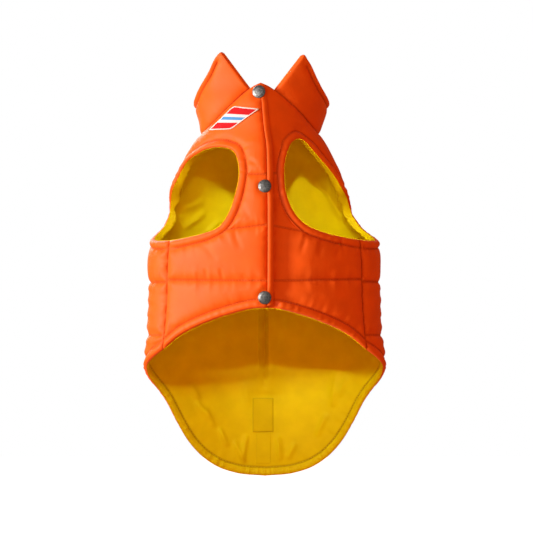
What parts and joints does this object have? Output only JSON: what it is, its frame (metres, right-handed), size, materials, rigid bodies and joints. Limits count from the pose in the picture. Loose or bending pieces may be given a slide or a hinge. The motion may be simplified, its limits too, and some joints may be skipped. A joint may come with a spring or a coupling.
{
  "type": "dog winter coat",
  "caption": "Padded sleeveless dog coat, hollow and filled out as worn, with armholes, a stand collar, a snapped belly closure and a long rounded tail over the back.",
  "frame": {"origin": "centre of the neck opening, level with the neckline at the sides of the neck, where the wearer's neck holds the coat", "axes": "+Z from the tail hem up through the neck, -Y out of the belly through the snaps, +Y out of the back, +X to the right as seen facing the belly"},
  "size_m": [0.2241, 0.1435, 0.4003],
  "materials": {
    "shell_nylon": "orange quilted nylon with a soft satin sheen",
    "lining_nylon": "yellow nylon lining, satin",
    "snap_metal": "brushed antique nickel",
    "emblem_weave": "woven patch, matt, red with a white edge",
    "loop_cloth": "yellow woven tape, matt"
  },
  "bodies": {
    "root": {"front_left": "shell_nylon", "front_right": "shell_nylon", "back": "shell_nylon", "collar": "shell_nylon", "placket": "shell_nylon", "lining_front_left": "lining_nylon", "lining_front_right": "lining_nylon", "lining_back": "lining_nylon", "lining_collar": "lining_nylon", "snap_top": "snap_metal", "snap_middle": "snap_metal", "snap_bottom": "snap_metal", "emblem": "emblem_weave", "loop_patch": "loop_cloth", "loop_tape": "loop_cloth"}
  },
  "joints": []
}
